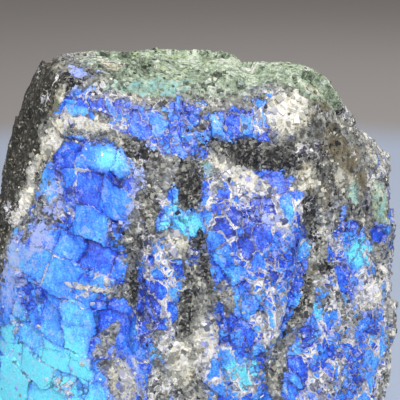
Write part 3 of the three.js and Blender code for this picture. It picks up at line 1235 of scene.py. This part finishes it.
def grain_material(finish):
    """Loose crushed feldspar: glassy fragments, each of one colour, that catch the light."""
    material, tree = new_material("crushed_feldspar_grains")
    look = add(tree, "ShaderNodeAttribute", attribute_name="grain")
    tone, bluish, greenish = add(tree, SPLIT, {0: look}).outputs
    base = add(
        tree, RAMP, {0: tone},
        ramp=(
            (0.1, finish.dark),
            (0.3, linear("55554f")),
            (0.55, linear("96978f")),
            (0.8, finish.cream),
            (0.98, finish.white),
        ),
    ).outputs[0]
    for share, tint in ((bluish, "7f95ff"), (greenish, "c2dcb4")):
        base = add(
            tree, MIX, {0: share, 6: base, 7: (*linear(tint), 1)}, data_type="RGBA",
            blend_type="MULTIPLY",
        ).outputs[2]
    shader = add(
        tree, "ShaderNodeBsdfPrincipled",
        {"Base Color": base, "Roughness": 0.35, "IOR": FELDSPAR_IOR},
    )
    add(tree, "ShaderNodeOutputMaterial", {"Surface": shader})
    return material


def floor_material(stage):
    """Matt painted studio floor, pale near the stone and greyer far away, like a sweep."""
    material, tree = new_material("matt_studio_floor")
    place = add(tree, "ShaderNodeTexCoord").outputs["Object"]
    away = add(tree, VECTOR, {0: place}, operation="LENGTH").outputs["Value"]
    begin, end = (stage.floor_radius * share for share in FLOOR_FADE)
    share = add(
        tree, RANGE, {"Value": away, "From Min": begin, "From Max": end},
        interpolation_type="SMOOTHSTEP",
    )
    blend = add(
        tree, MIX, {0: share, 6: (*stage.floor, 1), 7: (*stage.wall, 1)}, data_type="RGBA"
    )
    shader = add(
        tree, "ShaderNodeBsdfPrincipled", {"Base Color": blend.outputs[2], "Roughness": 0.8}
    )
    add(tree, "ShaderNodeOutputMaterial", {"Surface": shader})
    return material


# ---------------------------------------------------------------------------------------------
# Operators


class OBJECT_OT_labradorite_stone(bpy.types.Operator):
    """Builds the surface of the stone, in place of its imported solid"""

    bl_idname = "object.labradorite_stone"
    bl_label = "Labradorite Stone"

    def execute(self, context):
        stone, finish = context.scene.labradorite_stone, context.scene.labradorite_finish
        points, quads, vectors, zones = stone_mesh(stone)
        # The hue pushes the shimmer towards cyan, partly real colour and partly painted highlight
        # on the lower left, and towards ultramarine.
        hue_and_highlight = 0.03 + 0.55 * zones["cyan_and_highlight"] - 0.2 * zones["deep"]
        colours = {
            "minerals": np.stack([zones[name] for name in ("blue", "crush", "dark", "cream")], 1),
            "tints": np.stack([zones["green"], zones["teal"], hue_and_highlight, zones["haze"]], 1),
            # The extras: lobe, skin, iron stain, and painted shade in the furrows and on its
            # patches.
            "extras": np.stack([zones[name] for name in ("lobe", "skin", "brown", "painted_shade")], 1),
        }
        mesh = thinned(new_mesh("stone_surface", points, quads, vectors, colours), stone.triangles)
        mesh.shade_smooth()
        mesh.set_sharp_from_angle(angle=SHARP_ANGLE)
        chart_uv(mesh)
        piece = finished_object("stone_surface", mesh, labradorite_material(stone, finish))
        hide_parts(NODE)
        return {"FINISHED"}


class OBJECT_OT_labradorite_grains(bpy.types.Operator):
    """Scatters loose grains over the crushed rock of the stone"""

    bl_idname = "object.labradorite_grains"
    bl_label = "Labradorite Grains"

    def execute(self, context):
        stone = bpy.data.objects.get("stone_surface")
        if stone is None:
            raise RuntimeError("The stone has to be built before its grains")
        mesh = grain_mesh(stone.data, context.scene.labradorite_stone)
        finished_object("crushed_grains", mesh, grain_material(context.scene.labradorite_finish))
        return {"FINISHED"}


class OBJECT_OT_labradorite_stage(bpy.types.Operator):
    """Lays a pale floor under the stone and sets soft light and the camera"""

    bl_idname = "object.labradorite_stage"
    bl_label = "Labradorite Stage"

    def execute(self, context):
        stage = context.scene.labradorite_stage
        scene = context.scene
        scene.view_settings.view_transform = "Standard"

        # A disc: rings of points, a fan of triangles in the middle and bands of quads around it.
        angle = np.linspace(0, 2 * math.pi, FLOOR_SPOKES, endpoint=False)
        flat = np.zeros(FLOOR_SPOKES)
        ring = np.stack([np.cos(angle), np.sin(angle), flat], 1) * stage.floor_radius
        points = np.concatenate([np.zeros((1, 3)), *[ring * share for share in FLOOR_RINGS]])
        index = 1 + np.arange(len(points) - 1).reshape(len(FLOOR_RINGS), FLOOR_SPOKES)
        after = np.roll(index, -1, 1)
        middle = np.stack([np.zeros_like(index[0]), index[0], after[0]], 1)
        bands = np.stack([index[:-1], index[1:], after[1:], after[:-1]], -1).reshape(-1, 4)
        mesh = bpy.data.meshes.new("floor")
        mesh.from_pydata(points.tolist(), [], middle.tolist() + bands.tolist())
        mesh.materials.append(floor_material(stage))
        floor = bpy.data.objects.new("floor", mesh)
        scene.collection.objects.link(floor)

        world = bpy.data.worlds.new("soft_studio")
        world.use_nodes = True
        surroundings = world.node_tree.nodes["Background"].inputs
        surroundings["Color"].default_value = (*stage.wall, 1)
        surroundings["Strength"].default_value = 1.0
        scene.world = world

        middle_height = (CAD_BOUNDS[0][2] + CAD_BOUNDS[1][2]) / 2
        for name, (bearing, elevation, distance, size, share) in LIGHTS.items():
            light = bpy.data.lights.new(name, "AREA")
            light.shape = "DISK"
            light.size = size
            light.energy = stage.light * share
            lamp = bpy.data.objects.new(name, light)
            a, e = math.radians(bearing), math.radians(elevation)
            towards = np.array(
                [math.sin(a) * math.cos(e), -math.cos(a) * math.cos(e), math.sin(e)]
            )
            lamp.location = towards * distance + np.array([0, 0, middle_height])
            lamp.rotation_euler = (math.pi / 2 - e, 0, a)
            scene.collection.objects.link(lamp)

        camera = bpy.data.cameras.new("camera")
        camera.lens = stage.lens / MM
        camera.sensor_width = SENSOR_WIDTH
        camera.clip_start = 0.005
        view = bpy.data.objects.new("camera", camera)
        back = np.array([0, -math.cos(stage.elevation), math.sin(stage.elevation)])
        view.location = np.array(VIEW_TARGET) * MM + back * stage.distance
        view.rotation_euler = (math.pi / 2 - stage.elevation, 0, 0)
        scene.collection.objects.link(view)
        scene.camera = view
        return {"FINISHED"}


class VIEW3D_PT_labradorite(bpy.types.Panel):
    """Lists the builders of the stone and its stage"""

    bl_label = "Labradorite"
    bl_idname = "VIEW3D_PT_labradorite"
    bl_space_type = "VIEW_3D"
    bl_region_type = "UI"
    bl_category = "Labradorite"

    def draw(self, context):
        for operator in (
            OBJECT_OT_labradorite_stone,
            OBJECT_OT_labradorite_grains,
            OBJECT_OT_labradorite_stage,
        ):
            self.layout.operator(operator.bl_idname)
        for group in GROUPS:
            settings = getattr(context.scene, group)
            for name in settings.bl_rna.properties.keys():
                if name not in {"rna_type", "name"}:
                    self.layout.prop(settings, name)


GROUPS = {
    "labradorite_stone": StoneSettings,
    "labradorite_finish": FinishSettings,
    "labradorite_stage": StageSettings,
}
CLASSES = (
    *GROUPS.values(),
    OBJECT_OT_labradorite_stone,
    OBJECT_OT_labradorite_grains,
    OBJECT_OT_labradorite_stage,
    VIEW3D_PT_labradorite,
)


def register():
    for cls in CLASSES:
        bpy.utils.register_class(cls)
    for name, group in GROUPS.items():
        setattr(bpy.types.Scene, name, PointerProperty(type=group))


def unregister():
    for name in GROUPS:
        delattr(bpy.types.Scene, name)
    for cls in reversed(CLASSES):
        bpy.utils.unregister_class(cls)


def main():
    register()
    bpy.ops.object.labradorite_stage()
    bpy.ops.object.labradorite_stone()
    bpy.ops.object.labradorite_grains()


if __name__ == "__main__":
    main()
